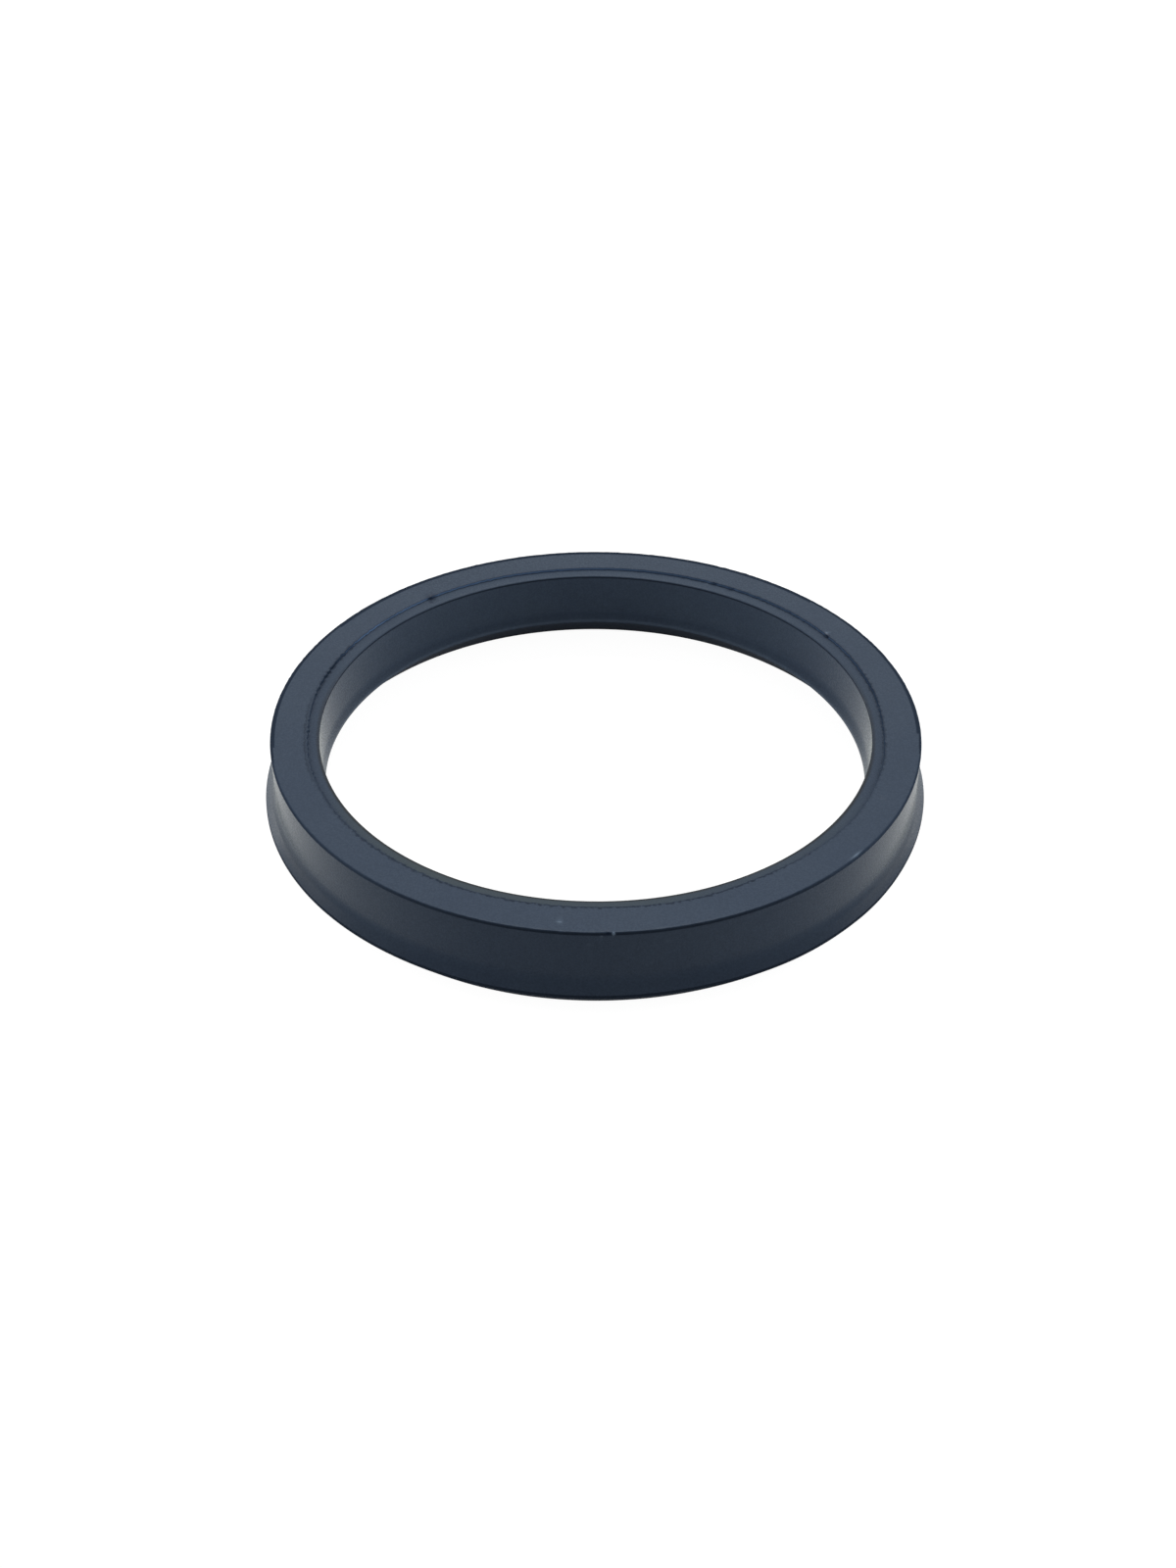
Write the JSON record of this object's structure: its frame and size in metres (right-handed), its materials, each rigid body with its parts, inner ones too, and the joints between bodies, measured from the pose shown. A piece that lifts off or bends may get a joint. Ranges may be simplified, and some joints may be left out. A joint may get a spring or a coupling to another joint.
{
  "type": "grooved ring seal",
  "caption": "One-piece moulded ring seal of U section: a flat heel, flared inner and outer sealing lips, and a groove between the lips.",
  "frame": {"origin": "middle of the ring at the tips of the lips, which it lies on", "axes": "+Z along the ring's axis, out of the heel face; X and Y are any two directions across the ring"},
  "size_m": [0.072, 0.072, 0.0095],
  "materials": {
    "ring": "matt blue-grey polyurethane with a fine moulded grain"
  },
  "bodies": {
    "root": {"grooved_ring": "ring"}
  },
  "joints": []
}
